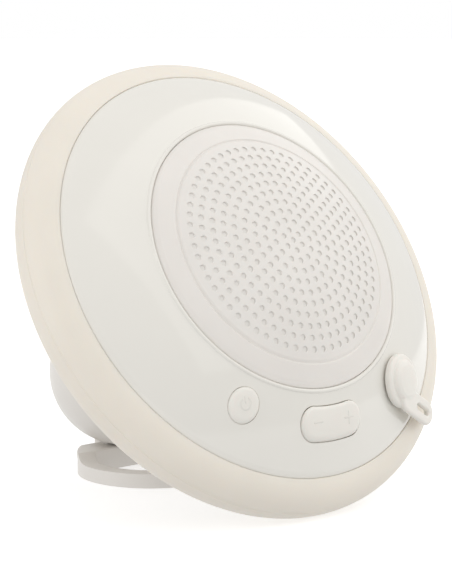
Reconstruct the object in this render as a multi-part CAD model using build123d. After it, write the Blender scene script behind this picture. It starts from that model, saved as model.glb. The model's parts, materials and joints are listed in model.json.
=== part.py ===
from build123d import *
import math
import os

# A floating shower speaker: a round face in a soft bumper ring, a battery neck behind it and a
# hinged loop at the neck's end that serves as its foot.
# Lengths are in mm and angles in degrees.
#
# Most pieces are drawn in the speaker's own frame: Z is the speaker's axis, pointing out of the
# face, X is to the right and Y is up the face. Its origin is where the bezel's edge meets the
# bumper. The loop is drawn in the frame of the surface that the speaker stands on.

# Driving dimensions
LEAN = 31.7             # how far the face leans back from upright
FACE_APEX = 24.7        # height of the middle of the face
FACE_SPHERE = 133.6     # radius of the face's dome
COVER_R = 51.8          # perforated cover
DOME_R = 43.6           # groove around the perforated area
BEZEL_R = 79.4
BEZEL_EDGE_Z = 0.1
BEZEL_INNER_R = COVER_R + 0.4
BEZEL_INNER_Z = 13.9
BEZEL_MID = (66.0, 7.9)  # radius and height of a place halfway across the bezel's crown
BEZEL_WALL = 3.0
LEDGE_R = 36.5          # opening in the baffle that carries the driver
LEDGE_OUTER_R = 54.6
LEDGE_TOP = 10.8
LEDGE_BOTTOM = 8.6
WALL = 2.4
RIM_SPLIT_Z = -8.2      # where the bezel and the rear shell meet inside the bumper
RIM_BACK_Z = -18.4
RIM_FLOOR_Z = -16.2     # inside of the rear shell's rim
SEAL_THICK = 0.3        # between the two rims
SCREW_CIRCLE = 63.0
CASE_SCREW_ANGLES = (62, 112, 160, 200, 248, 298)

BUMPER_R = 78.3         # circle through the middle of the bumper's round section
BUMPER_Z = -11.2
BUMPER_TUBE = 11.0

HOLE_PITCH = 3.93
HOLE_RINGS = 10
HOLE_R = 0.97

NECK_R = 28.0
NECK_END_Z = -77.6
SPIGOT_R = 25.4
SPIGOT_END_Z = -87.0
BULKHEAD_Z = -48.0      # floor between the bowl and the battery space
BULKHEAD_THICK = 1.6
CAP_R = 28.6
CAP_CENTRE_Z = -88.5    # centre of the cap's round end
CAP_EDGE_Z = -78.0
GRIP_COUNT = 16

CONTROL_R = 62.8        # distance of the controls from the axis
POWER_ANGLE = -34.5     # angles from straight down, positive to the right
BUTTON_R = 6.0
ROCKER_R = 63.2
ROCKER_HALF_ANGLE = 12.8
ROCKER_WIDTH = 12.0
SOCKET_ANGLE = 36.5
SOCKET_R = 65.0
BUTTON_GAP = 0.35
SOCKET_Z = 8.5
SOCKET_TILT = 26.8      # slope of the bezel under the socket
JACK_BORE_R = 1.8
CONTROL_SLOPE = 25.6    # slope of the bezel under the keys
POWER_TOP_Z = 10.5      # top of each key, over its middle
ROCKER_TOP_Z = 10.3
KEY_FLANGE_TOP = 2.5
KEY_BASE_Z = 3.4        # underside of the rocker's pad
PRESS_GAP = 0.95        # between the power key's stem and its switch
ROCK_GAP = 0.5          # between the rocker's stems and their switches
CONTROL_BOARD_TOP = -4.0
CONTROL_BOARD_THICK = 1.4
SWITCH_HEIGHT = 3.2
ROCKER_SWITCH_ANGLE = 6.5

DRIVER_R = 40.0
FLANGE_TOP = 8.2        # front of the driver's flange
DRIVER_SCREW_CIRCLE = 37.6
BOARD_Z = -34.0         # top of the amplifier board
BOARD_THICK = 1.55
BOARD_POSTS = [(x, y) for x in (-24, 24) for y in (-15, 15)]
LEAD_HOLE_X = 5.0
HOLDER_FRONT_Z = BULKHEAD_Z - BULKHEAD_THICK - 0.05
HOLDER_BACK_Z = -104.4
HOLDER_END_THICK = 1.2
CELL_R = 7.1
CELL_LENGTH = 50.5
CELL_CIRCLE = 8.6
CELL_FRONT_Z = -51.8

LOOP_R = 28.3           # foot loop, seen from above
LOOP_HOLE_R = 21.6
LOOP_THICK = 5.4
LOOP_AHEAD = 24.1       # from the hinge to the loop's centre
LOOP_WEB_AHEAD = 10.9   # from the hinge to the straight wall of the loop's hole
KNUCKLE_R = 4.2
KNUCKLE_HALF = 16.0
LUG_HALF = 6.0
HINGE_GAP = 0.3
PIN_R = 1.5

# The speaker stands on the bumper's lowest point and on the loop, and the origin is under the
# middle of its outline.
lean_sin = math.sin(math.radians(LEAN))
lean_cos = math.cos(math.radians(LEAN))
bumper_front = -BUMPER_Z * lean_cos - BUMPER_R * lean_sin - BUMPER_TUBE
cap_back = -CAP_CENTRE_Z * lean_cos + CAP_R
SPEAKER_Y = -(bumper_front + cap_back) / 2
SPEAKER_Z = -BUMPER_Z * lean_sin + BUMPER_R * lean_cos + BUMPER_TUBE
CAP_Y = SPEAKER_Y - CAP_CENTRE_Z * lean_cos
CAP_Z = SPEAKER_Z + CAP_CENTRE_Z * lean_sin
HINGE_Y = CAP_Y + 7.2
HINGE_Z = KNUCKLE_R
speaker_frame = Plane(
    origin=(0, SPEAKER_Y, SPEAKER_Z), x_dir=(1, 0, 0), z_dir=(0, -lean_cos, lean_sin)
)


# ---------------------------------------------------------------- helpers

def turned(*edges):
    """A solid turned about the axis from edges given as (radius, height)."""
    outline = Curve() + list(edges)
    return revolve(make_face(Plane.XZ * outline), Axis.Z)


def turned_polygon(*points):
    """A solid turned about the axis from a closed polygon of (radius, height)."""
    return turned(Polyline(*points, close=True))


def washer(inner, outer, bottom, top):
    """A flat ring about the axis."""
    return turned_polygon((inner, bottom), (outer, bottom), (outer, top), (inner, top))


def rod(radius, bottom, top, x=0.0, y=0.0):
    """A cylinder along the axis's direction."""
    return Pos(x, y, (bottom + top) / 2) * Cylinder(radius, top - bottom)


def block(width, depth, bottom, top, x=0.0, y=0.0):
    """A box standing on the height bottom."""
    return Pos(x, y, (bottom + top) / 2) * Box(width, depth, top - bottom)


def on_face(radius, angle):
    """The x and y of a place on the face, its angle taken from straight down."""
    turn = math.radians(angle)
    return radius * math.sin(turn), -radius * math.cos(turn)


def ball_arc(centre_z, ball, start, end):
    """Section of a ball centred on the axis, from one radius to another."""
    middle = (start + end) / 2
    return ThreePointArc(
        (start, centre_z + math.sqrt(ball**2 - start**2)),
        (middle, centre_z + math.sqrt(ball**2 - middle**2)),
        (end, centre_z + math.sqrt(ball**2 - end**2)),
    )


def sphere_height(radius, offset=0.0):
    """Height of the face's dome, or of a shell that far below it."""
    ball = FACE_SPHERE - offset
    return FACE_APEX - FACE_SPHERE + math.sqrt(ball**2 - radius**2)


def dome_arc(start, end, offset=0.0):
    """The dome's section from one radius to another."""
    return ball_arc(FACE_APEX - FACE_SPHERE, FACE_SPHERE - offset, start, end)


def wire(radius, points, bend):
    """A round lead along straight runs joined by arcs of one radius."""
    path = FilletPolyline(*points, radius=bend)
    section = Plane(origin=path @ 0, z_dir=path % 0) * Circle(radius)
    return sweep(section, path=path)


def around(count, radius, start=0.0):
    """Evenly spaced places on a circle."""
    return [
        (
            radius * math.cos(math.radians(start + 360 * i / count)),
            radius * math.sin(math.radians(start + 360 * i / count)),
        )
        for i in range(count)
    ]


# ---------------------------------------------------------------- face

socket_x, socket_y = on_face(SOCKET_R, SOCKET_ANGLE)
socket_out_x, socket_out_y = on_face(1.0, SOCKET_ANGLE)
tilt_sin = math.sin(math.radians(SOCKET_TILT))
tilt_cos = math.cos(math.radians(SOCKET_TILT))
socket_frame = Plane(
    origin=(socket_x, socket_y, SOCKET_Z),
    x_dir=(tilt_cos * socket_out_x, tilt_cos * socket_out_y, -tilt_sin),
    z_dir=(tilt_sin * socket_out_x, tilt_sin * socket_out_y, tilt_cos),
)
power_x, power_y = on_face(CONTROL_R, POWER_ANGLE)


def rocker_outline(grow=0.0):
    """The volume rocker's bent pad: a ring sector with round ends."""
    half_width = ROCKER_WIDTH / 2 + grow
    end_angle = ROCKER_HALF_ANGLE - math.degrees(ROCKER_WIDTH / 2 / ROCKER_R)
    outer_left = on_face(ROCKER_R + half_width, -end_angle)
    outer_right = on_face(ROCKER_R + half_width, end_angle)
    inner_left = on_face(ROCKER_R - half_width, -end_angle)
    inner_right = on_face(ROCKER_R - half_width, end_angle)
    end_turn = math.degrees(half_width / ROCKER_R)
    outer = ThreePointArc(outer_left, on_face(ROCKER_R + half_width, 0), outer_right)
    right = ThreePointArc(outer_right, on_face(ROCKER_R, end_angle + end_turn), inner_right)
    inner = ThreePointArc(inner_right, on_face(ROCKER_R - half_width, 0), inner_left)
    left = ThreePointArc(inner_left, on_face(ROCKER_R, -end_angle - end_turn), outer_left)
    return make_face(outer + right + inner + left)


def bezel():
    """The glossy ring around the cover, with the baffle ledge that carries the driver."""
    inner_wall = BEZEL_R - BEZEL_WALL
    wall_top = -1.4
    boss_r = 3.4
    pilot_r = 1.25
    body = turned(
        ThreePointArc((BEZEL_INNER_R, BEZEL_INNER_Z), BEZEL_MID, (BEZEL_R, BEZEL_EDGE_Z)),
        Line((BEZEL_R, BEZEL_EDGE_Z), (BEZEL_R, RIM_SPLIT_Z)),
        Line((BEZEL_R, RIM_SPLIT_Z), (inner_wall, RIM_SPLIT_Z)),
        Line((inner_wall, RIM_SPLIT_Z), (inner_wall, wall_top)),
        ThreePointArc((inner_wall, wall_top), (65.0, 5.4), (LEDGE_OUTER_R, 9.9)),
        Line((LEDGE_OUTER_R, 9.9), (LEDGE_OUTER_R, LEDGE_BOTTOM)),
        Line((LEDGE_OUTER_R, LEDGE_BOTTOM), (LEDGE_R, LEDGE_BOTTOM)),
        Line((LEDGE_R, LEDGE_BOTTOM), (LEDGE_R, LEDGE_TOP)),
        Line((LEDGE_R, LEDGE_TOP), (BEZEL_INNER_R, LEDGE_TOP)),
        Line((BEZEL_INNER_R, LEDGE_TOP), (BEZEL_INNER_R, BEZEL_INNER_Z)),
    )
    for angle in CASE_SCREW_ANGLES:
        x, y = on_face(SCREW_CIRCLE, angle)
        body += rod(boss_r, -7.0, 5.4, x, y)
        body -= rod(pilot_r, -8.0, 2.0, x, y)
    body -= rod(BUTTON_R + BUTTON_GAP, 2, 20, power_x, power_y)
    body -= extrude(Pos(0, 0, 2) * rocker_outline(BUTTON_GAP), amount=20)
    body -= socket_frame * rod(6.4, -6, 4)
    return body


def cover():
    """The domed cover with its rings of sound holes."""
    thick = 1.8
    skirt = 1.9
    skirt_z = 11.9
    groove = 0.45
    body = turned(
        dome_arc(0, COVER_R),
        Line((COVER_R, sphere_height(COVER_R)), (COVER_R, skirt_z)),
        Line((COVER_R, skirt_z), (COVER_R - skirt, skirt_z)),
        Line((COVER_R - skirt, skirt_z), (COVER_R - skirt, sphere_height(COVER_R - skirt, thick))),
        dome_arc(0, COVER_R - skirt, thick),
        Line((0, sphere_height(0, thick)), (0, FACE_APEX)),
    )
    groove_z = sphere_height(DOME_R)
    body -= turned_polygon(
        (DOME_R - groove, groove_z + 1), (DOME_R + groove, groove_z + 1), (DOME_R, groove_z - groove)
    )
    places = [(0.0, 0.0)]
    for ring in range(1, HOLE_RINGS + 1):
        places += around(6 * ring, HOLE_PITCH * ring, 90)
    pins = Sketch() + [Pos(x, y) * Circle(HOLE_R) for x, y in places]
    return body - extrude(Pos(0, 0, 10) * pins, amount=20)


def cover_seal():
    """Flat ring under the cover's skirt."""
    return washer(46.6, 51.4, 10.9, 11.8)


def membrane():
    """The thin water barrier just behind the sound holes."""
    gap = 3.0
    thick = 0.3
    outer = 45.0
    inner = 44.4
    bottom = LEDGE_TOP + 0.1
    return turned(
        dome_arc(0, outer, gap),
        Line((outer, sphere_height(outer, gap)), (outer, bottom)),
        Line((outer, bottom), (inner, bottom)),
        Line((inner, bottom), (inner, sphere_height(inner, gap + thick))),
        dome_arc(0, inner, gap + thick),
        Line((0, sphere_height(0, gap + thick)), (0, sphere_height(0, gap))),
    )


def bumper():
    """The soft ring that clips over both rims."""
    inner = BEZEL_R + 0.3
    lip_z = RIM_BACK_Z - 0.3
    top_z = BUMPER_Z + math.sqrt(BUMPER_TUBE**2 - (inner - BUMPER_R) ** 2)
    lip_r = BUMPER_R - math.sqrt(BUMPER_TUBE**2 - (lip_z - BUMPER_Z) ** 2)
    outermost = (BUMPER_R + BUMPER_TUBE, BUMPER_Z)
    rearmost = (BUMPER_R, BUMPER_Z - BUMPER_TUBE)
    past_rear = 0.48
    back_inner = (
        BUMPER_R - BUMPER_TUBE * past_rear, BUMPER_Z - BUMPER_TUBE * math.sqrt(1 - past_rear**2)
    )
    return turned(
        ThreePointArc((inner, top_z), outermost, rearmost),
        ThreePointArc(rearmost, back_inner, (lip_r, lip_z)),
        Line((lip_r, lip_z), (inner, lip_z)),
        Line((inner, lip_z), (inner, top_z)),
    )


# ---------------------------------------------------------------- rear shell

def rear_shell():
    """The bowl behind the face, drawn out into the battery neck."""
    bowl_r = 69.2
    root = (34.5, -50.5)
    floor_r = 33.0
    inner_rim = (66.4, RIM_FLOOR_Z)
    rim_inner_r = BEZEL_R - BEZEL_WALL
    rim_top = RIM_SPLIT_Z - SEAL_THICK
    spigot_inner = SPIGOT_R - 2
    floor_back = BULKHEAD_Z - BULKHEAD_THICK
    body = turned(
        Line((BEZEL_R, rim_top), (BEZEL_R, RIM_BACK_Z)),
        Line((BEZEL_R, RIM_BACK_Z), (bowl_r, RIM_BACK_Z)),
        ThreePointArc((bowl_r, RIM_BACK_Z), (50.5, -37.5), root),
        ThreePointArc(root, (29.8, -55.5), (NECK_R, -62)),
        Line((NECK_R, -62), (NECK_R, NECK_END_Z)),
        Line((NECK_R, NECK_END_Z), (SPIGOT_R, NECK_END_Z)),
        Line((SPIGOT_R, NECK_END_Z), (SPIGOT_R, SPIGOT_END_Z)),
        Line((SPIGOT_R, SPIGOT_END_Z), (spigot_inner, SPIGOT_END_Z)),
        Line((spigot_inner, SPIGOT_END_Z), (spigot_inner, floor_back)),
        Line((spigot_inner, floor_back), (0, floor_back)),
        Line((0, floor_back), (0, BULKHEAD_Z)),
        Line((0, BULKHEAD_Z), (floor_r, BULKHEAD_Z)),
        ThreePointArc((floor_r, BULKHEAD_Z), (48.6, -35.2), inner_rim),
        Line(inner_rim, (rim_inner_r, RIM_FLOOR_Z)),
        Line((rim_inner_r, RIM_FLOOR_Z), (rim_inner_r, rim_top)),
        Line((rim_inner_r, rim_top), (BEZEL_R, rim_top)),
    )
    for angle in CASE_SCREW_ANGLES:
        x, y = on_face(SCREW_CIRCLE, angle)
        body += rod(3.6, -24.0, -7.3, x, y)
        body -= rod(1.7, -40, -5, x, y)
        body -= rod(3.0, -40, -14.0, x, y)
    for x, y in BOARD_POSTS:
        body += rod(2.4, BULKHEAD_Z - 0.5, BOARD_Z - BOARD_THICK - 0.05, x, y)
        body -= rod(0.95, BOARD_Z - 9, BOARD_Z, x, y)
    for x in (-LEAD_HOLE_X, LEAD_HOLE_X):
        body -= rod(1.3, BULKHEAD_Z - 2, BULKHEAD_Z + 1, x)
    return body


def case_seal():
    """Seal between the two rims."""
    return washer(76.8, 79.0, RIM_SPLIT_Z - SEAL_THICK + 0.02, RIM_SPLIT_Z - 0.02)


def case_screws():
    """Six screws from the back of the bowl into the bezel's bosses."""
    head_z = -16.2
    screws = []
    for angle in CASE_SCREW_ANGLES:
        x, y = on_face(SCREW_CIRCLE, angle)
        screw = rod(2.7, head_z, -14.05, x, y)
        screw += rod(1.2, -14.1, 1.5, x, y)
        screw -= Pos(x, y, head_z) * Box(0.7, 3.4, 1.6)
        screw -= Pos(x, y, head_z) * Box(3.4, 0.7, 1.6)
        screws.append(screw)
    return Compound(children=screws)


# ---------------------------------------------------------------- loudspeaker

def driver_basket():
    """The driver's frame: flange, open cone and seat for the magnet."""
    flange_bottom = 6.2
    seat_top = -9.0
    seat_bottom = -10.2
    body = turned_polygon(
        (DRIVER_R, flange_bottom), (DRIVER_R, FLANGE_TOP), (33.0, FLANGE_TOP), (33.0, flange_bottom),
        (22.0, seat_top), (11.0, seat_top), (11.0, seat_bottom), (22.8, seat_bottom),
        (34.4, flange_bottom),
    )
    window = Pos(28, 0, -1.6) * Box(16, 12, 8.6)
    for turn in range(0, 360, 60):
        body -= Rot(0, 0, turn) * window
    for x, y in around(4, DRIVER_SCREW_CIRCLE, 45):
        body -= rod(1.5, 5, 10, x, y)
    return body


def driver_gasket():
    """Flat ring between the driver's flange and the baffle."""
    return washer(35.0, DRIVER_R - 0.4, FLANGE_TOP + 0.04, FLANGE_TOP + 0.36)


def driver_screws():
    """Four screws through the driver's flange into the baffle."""
    screws = []
    for x, y in around(4, DRIVER_SCREW_CIRCLE, 45):
        screws.append(rod(2.6, 4.4, 6.15, x, y) + rod(1.3, 6.1, 7.9, x, y))
    return Compound(children=screws)


def surround():
    """Half roll that carries the cone."""
    middle = 30.7
    roll = 2.5
    thick = 0.5
    low = FLANGE_TOP + 0.05
    return turned(
        ThreePointArc((middle - roll, low), (middle, low + roll), (middle + roll, low)),
        Line((middle + roll, low), (34.6, low)),
        Line((34.6, low), (34.6, low + thick)),
        Line((34.6, low + thick), (middle + roll + thick, low + thick)),
        ThreePointArc(
            (middle + roll + thick, low + thick),
            (middle, low + roll + thick),
            (middle - roll - thick, low + thick),
        ),
        Line((middle - roll - thick, low + thick), (26.6, low + thick)),
        Line((26.6, low + thick), (26.6, low)),
        Line((26.6, low), (middle - roll, low)),
    )


def cone():
    """Paper cone from the surround down to the voice coil."""
    top = FLANGE_TOP
    return turned_polygon(
        (28.0, top), (28.0, top - 0.6), (26.9, top - 0.6), (9.3, -3.6), (9.3, -2.9), (26.4, top)
    )


def dust_cap():
    """Shallow dome over the middle of the cone."""
    edge_r = 9.1
    edge_z = -2.7
    rise = 3.9
    thick = 0.5
    ball = (edge_r**2 + rise**2) / (2 * rise)
    centre_z = edge_z + rise - ball
    inner_r = math.sqrt((ball - thick) ** 2 - (edge_z - centre_z) ** 2)
    return turned(
        ball_arc(centre_z, ball, 0, edge_r),
        Line((edge_r, edge_z), (inner_r, edge_z)),
        ball_arc(centre_z, ball - thick, inner_r, 0),
        Line((0, centre_z + ball - thick), (0, centre_z + ball)),
    )


def spider():
    """Corrugated disc that centres the voice coil."""
    low = -6.6
    rings = 3
    pitch = 3.6
    body = washer(9.4, 20.6, low, low + 0.4)
    for i in range(rings):
        body += Pos(0, 0, low + 0.2) * Torus(11.6 + pitch * i, 0.65)
    return body


def voice_coil():
    """Winding on its tube, in the magnet's gap."""
    return washer(8.5, 9.2, -14.0, -3.7)


def front_plate():
    """Steel ring on the front of the magnet."""
    return washer(9.7, 26.0, -14.2, -10.3)


def magnet():
    """Ferrite ring."""
    return washer(11.5, 27.0, -24.3, -14.3)


def magnet_yoke():
    """Back plate and pole."""
    pole_r = 8.0
    plate_r = 25.4
    plate_back = -28.4
    plate_front = -24.4
    pole_top = -10.4
    return turned_polygon(
        (0, plate_back), (plate_r, plate_back), (plate_r, plate_front),
        (pole_r, plate_front), (pole_r, pole_top), (0, pole_top),
    )


# ---------------------------------------------------------------- controls

def control_board():
    """Curved circuit board under the controls."""
    inner = 56.0
    outer = 72.0
    left = -45.0
    right = 22.0
    middle = (left + right) / 2
    face = make_face(
        ThreePointArc(on_face(outer, left), on_face(outer, middle), on_face(outer, right))
        + Line(on_face(outer, right), on_face(inner, right))
        + ThreePointArc(on_face(inner, right), on_face(inner, middle), on_face(inner, left))
        + Line(on_face(inner, left), on_face(outer, left))
    )
    bottom = CONTROL_BOARD_TOP - CONTROL_BOARD_THICK
    return extrude(Pos(0, 0, bottom) * face, amount=CONTROL_BOARD_THICK)


def tact_switch(x, y):
    """A small push switch on the board."""
    base = CONTROL_BOARD_TOP + 0.02
    body = block(6, 6, base, base + SWITCH_HEIGHT - 0.9, x, y)
    return body + rod(1.7, base + SWITCH_HEIGHT - 1.0, base + SWITCH_HEIGHT, x, y)


def power_switch():
    """Push switch under the power key."""
    return tact_switch(power_x, power_y)


def volume_switches():
    """Push switches under the rocker's two ends."""
    left = on_face(ROCKER_R - 1, -ROCKER_SWITCH_ANGLE)
    right = on_face(ROCKER_R - 1, ROCKER_SWITCH_ANGLE)
    return Compound(children=[tact_switch(*left), tact_switch(*right)])


def tilted_cut(angle):
    """A block whose lower face slopes with the bezel at that angle."""
    return Rot(0, 0, angle) * Rot(CONTROL_SLOPE, 0, 0) * Pos(0, 0, 10) * Box(60, 60, 20)


def power_button():
    """Rubber key with a retaining flange and a stem."""
    body = rod(BUTTON_R, KEY_FLANGE_TOP - 0.1, 16, power_x, power_y)
    body -= Pos(power_x, power_y, POWER_TOP_Z) * tilted_cut(POWER_ANGLE)
    body += rod(BUTTON_R + 0.8, KEY_FLANGE_TOP - 1.3, KEY_FLANGE_TOP, power_x, power_y)
    stem_end = CONTROL_BOARD_TOP + SWITCH_HEIGHT + PRESS_GAP
    return body + rod(2.2, stem_end, KEY_FLANGE_TOP, power_x, power_y)


def volume_rocker():
    """One bent rubber key over two switches, tilting about the line through its middle."""
    stem_end = CONTROL_BOARD_TOP + SWITCH_HEIGHT + ROCK_GAP
    body = extrude(Pos(0, 0, KEY_BASE_Z) * rocker_outline(), amount=12)
    body -= Pos(0, -ROCKER_R, ROCKER_TOP_Z) * tilted_cut(0)
    for side in (-1, 1):
        x, y = on_face(ROCKER_R - 1, side * ROCKER_SWITCH_ANGLE)
        body += rod(2.0, stem_end, KEY_BASE_Z + 0.2, x, y)
    return body


def audio_socket():
    """Panel socket with its threaded collar and body."""
    body = rod(6.0, -4.0, -1.2) + rod(5.0, -16.0, -3.9)
    body -= rod(JACK_BORE_R, -15.0, 0)
    return socket_frame * body


def socket_plug():
    """Rubber plug: wide flange, raised disc and a pull loop."""
    flange_r = 9.8
    disc_r = 7.8
    tab_width = 9.2
    slot_length = 6.6
    slot_width = 2.8
    flange = rod(flange_r, 0.35, 2.9)
    flange = fillet(flange.edges().filter_by(GeomType.CIRCLE).group_by(Axis.Z)[-1], 1.0)
    disc = rod(disc_r, 2.8, 5.2)
    disc = fillet(disc.edges().filter_by(GeomType.CIRCLE).group_by(Axis.Z)[-1], 1.4)
    start = Vector(6.0, -3.6)
    end = Vector(17.3, 2.6)
    middle = (start + end) * 0.5
    turn = math.degrees(math.atan2(end.Y - start.Y, end.X - start.X))
    reach = (end - start).length
    tab = Pos(middle.X, middle.Y) * Rot(0, 0, turn) * SlotCenterToCenter(reach, tab_width)
    slot = Pos(end.X, end.Y) * Rot(0, 0, turn) * Pos(-3.0, 0)
    slot *= SlotCenterToCenter(slot_length, slot_width)
    loop = extrude(Pos(0, 0, 1.9) * (tab - slot), amount=2.4)
    stem = rod(6.1, -1.0, 0.4)
    return socket_frame * (flange + disc + loop + stem)


# ---------------------------------------------------------------- electronics and power

def amplifier_board():
    """Circuit board on four posts in the bowl."""
    body = block(60, 40, BOARD_Z - BOARD_THICK, BOARD_Z)
    for x, y in BOARD_POSTS:
        body -= rod(1.1, BOARD_Z - 3, BOARD_Z + 1, x, y)
    return body


def amplifier_chip():
    """Chip on the amplifier board."""
    return block(8, 8, BOARD_Z + 0.05, BOARD_Z + 1.1, 6, 4)


def capacitors():
    """Three round capacitors on the amplifier board."""
    cans = [rod(3.2, BOARD_Z + 0.05, BOARD_Z + 4.6, x, -10) for x in (-12, -4, 12)]
    return Compound(children=cans)


def board_screws():
    """Four screws through the amplifier board into its posts."""
    screws = []
    for x, y in BOARD_POSTS:
        head = rod(2.0, BOARD_Z + 0.03, BOARD_Z + 1.4, x, y)
        shank = rod(0.9, BOARD_Z - 7, BOARD_Z + 0.1, x, y)
        screws.append(head + shank)
    return Compound(children=screws)


def battery_holder():
    """Core with three open channels between two end discs."""
    core_r = 14.0
    disc_r = 17.0
    channel_front = HOLDER_FRONT_Z - HOLDER_END_THICK
    channel_back = HOLDER_BACK_Z + HOLDER_END_THICK
    body = rod(core_r, HOLDER_BACK_Z, HOLDER_FRONT_Z)
    body += rod(disc_r, channel_front, HOLDER_FRONT_Z)
    body += rod(disc_r, HOLDER_BACK_Z, channel_back)
    for x, y in around(3, CELL_CIRCLE, 90):
        body -= rod(CELL_R + 0.15, channel_back, channel_front, x, y)
    return body


def battery_cells():
    """Three cells side by side, each with its contact nipple."""
    cells = []
    for x, y in around(3, CELL_CIRCLE, 90):
        cell = rod(CELL_R, CELL_FRONT_Z - CELL_LENGTH + 1, CELL_FRONT_Z - 1, x, y)
        cells.append(cell + rod(2.7, CELL_FRONT_Z - 1.1, CELL_FRONT_Z, x, y))
    return Compound(children=cells)


def front_contacts():
    """Flat contacts at the cells' nipples."""
    top = HOLDER_FRONT_Z - HOLDER_END_THICK - 0.05
    plates = [rod(4.0, top - 0.4, top, x, y) for x, y in around(3, CELL_CIRCLE, 90)]
    return Compound(children=plates)


def rear_contacts():
    """Coil springs under the cells."""
    bottom = HOLDER_BACK_Z + HOLDER_END_THICK + 0.05
    top = CELL_FRONT_Z - CELL_LENGTH + 0.95
    springs = []
    for x, y in around(3, CELL_CIRCLE, 90):
        springs.append(Pos(x, y) * washer(2.0, 3.4, bottom, top))
    return Compound(children=springs)


def speaker_leads():
    """Two leads from the amplifier board to the driver's terminals."""
    leads = []
    for x in (-31.5, 31.5):
        points = [(x, 6, BOARD_Z + 0.1), (x, 6, -26), (x, 13, -15), (x, 13, -3)]
        leads.append(wire(0.7, points, 6.0))
    return Compound(children=leads)


def battery_leads():
    """Two leads from the battery bulkhead to the amplifier board."""
    start = HOLDER_FRONT_Z + 0.1
    end = BOARD_Z - BOARD_THICK - 0.05
    leads = [rod(0.7, start, end, x) for x in (-LEAD_HOLE_X, LEAD_HOLE_X)]
    return Compound(children=leads)


def control_leads():
    """Leads from the control board back to the amplifier board."""
    board_bottom = CONTROL_BOARD_TOP - CONTROL_BOARD_THICK - 0.05
    leads = []
    for x in (-6, -4, -2):
        points = [
            (x, -60, board_bottom), (x, -60, -12), (x, -43, -29),
            (x, -26, -36.5), (x, -18.5, -36.5),
        ]
        leads.append(wire(0.6, points, 5.0))
    return Compound(children=leads)


# ---------------------------------------------------------------- battery cap and loop

def battery_cap():
    """Round twist-off cap with grip notches, and the lug that carries the loop."""
    skirt_r = SPIGOT_R + 0.35
    inner_r = CAP_R - WALL
    inner_start = math.sqrt(inner_r**2 - skirt_r**2)
    diagonal = math.sqrt(0.5)
    body = turned(
        Line((CAP_R, CAP_EDGE_Z), (CAP_R, CAP_CENTRE_Z)),
        ThreePointArc(
            (CAP_R, CAP_CENTRE_Z),
            (CAP_R * diagonal, CAP_CENTRE_Z - CAP_R * diagonal),
            (0, CAP_CENTRE_Z - CAP_R),
        ),
        Line((0, CAP_CENTRE_Z - CAP_R), (0, CAP_CENTRE_Z - inner_r)),
        ThreePointArc(
            (0, CAP_CENTRE_Z - inner_r),
            (inner_r * diagonal, CAP_CENTRE_Z - inner_r * diagonal),
            (skirt_r, CAP_CENTRE_Z - inner_start),
        ),
        Line((skirt_r, CAP_CENTRE_Z - inner_start), (skirt_r, CAP_EDGE_Z)),
        Line((skirt_r, CAP_EDGE_Z), (CAP_R, CAP_EDGE_Z)),
    )
    notch_r = 1.9
    notch_start = -87.5
    notch_end = -80.5
    for x, y in around(GRIP_COUNT, CAP_R + 0.9, 360 / GRIP_COUNT / 2):
        body -= rod(notch_r, notch_start, notch_end, x, y)
    cap = speaker_frame * body
    return cap + hinge_lug() - loop_pin_bore()


def hinge_lug():
    """Lug from the cap's round end down to the loop's pin."""
    root_z = HINGE_Z + 7.0
    profile = make_face(
        Polyline(
            (HINGE_Y - KNUCKLE_R, HINGE_Z),
            (HINGE_Y - KNUCKLE_R, root_z),
            (HINGE_Y + KNUCKLE_R, root_z + 1.4),
            (HINGE_Y + KNUCKLE_R, HINGE_Z),
            close=True,
        )
    )
    knuckle = Pos(HINGE_Y, HINGE_Z) * Circle(KNUCKLE_R)
    side = Plane(origin=(LUG_HALF, 0, 0), x_dir=(0, 1, 0), z_dir=(1, 0, 0)) * (profile + knuckle)
    return extrude(side, amount=-2 * LUG_HALF)


def cross_rod(radius, half_length):
    """A rod across the speaker, on the hinge's line."""
    return Pos(0, HINGE_Y, HINGE_Z) * Rot(0, 90, 0) * Cylinder(radius, 2 * half_length)


def loop_pin_bore():
    """The pin's hole through the lug."""
    return cross_rod(PIN_R + 0.05, 40)


def cap_seal():
    """Ring between the neck's shoulder and the cap's edge."""
    return washer(SPIGOT_R + 0.3, NECK_R - 0.2, CAP_EDGE_Z + 0.02, NECK_END_Z - 0.02)


def stand_loop():
    """The foot: a round loop with a straight web and two hinge knuckles at its back."""
    loop_y = HINGE_Y - LOOP_AHEAD
    web_y = HINGE_Y - LOOP_WEB_AHEAD
    disc = Pos(0, loop_y, LOOP_THICK / 2) * Cylinder(LOOP_R, LOOP_THICK)
    disc = chamfer(disc.edges().group_by(Axis.Z)[-1], 0.9)
    behind_hinge = Pos(0, HINGE_Y + 20, 0) * Box(80, 40, 40)
    web_top = 8.3
    web = extrude(
        Plane(origin=(KNUCKLE_HALF, 0, 0), x_dir=(0, 1, 0), z_dir=(1, 0, 0))
        * make_face(
            Polyline(
                (web_y, 0), (web_y, web_top - 1.2), (web_y + 1.2, web_top),
                (HINGE_Y, 2 * KNUCKLE_R), (HINGE_Y, 0), close=True,
            )
        ),
        amount=-2 * KNUCKLE_HALF,
    )
    hole = Pos(0, loop_y, LOOP_THICK / 2) * Cylinder(LOOP_HOLE_R, 20)
    hole -= Pos(0, web_y + 20, 0) * Box(80, 40, 40)
    body = disc - behind_hinge + web + cross_rod(KNUCKLE_R, KNUCKLE_HALF) - hole
    slot_front = HINGE_Y - KNUCKLE_R - 1.4
    body -= Pos(0, slot_front + 10, 0) * Box(2 * LUG_HALF + 2 * HINGE_GAP, 20, 40)
    return body - cross_rod(PIN_R + 0.02, 40)


def stand_pin():
    """The hinge's pin."""
    return cross_rod(PIN_R, KNUCKLE_HALF - 0.4)


# ---------------------------------------------------------------- all pieces

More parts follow.
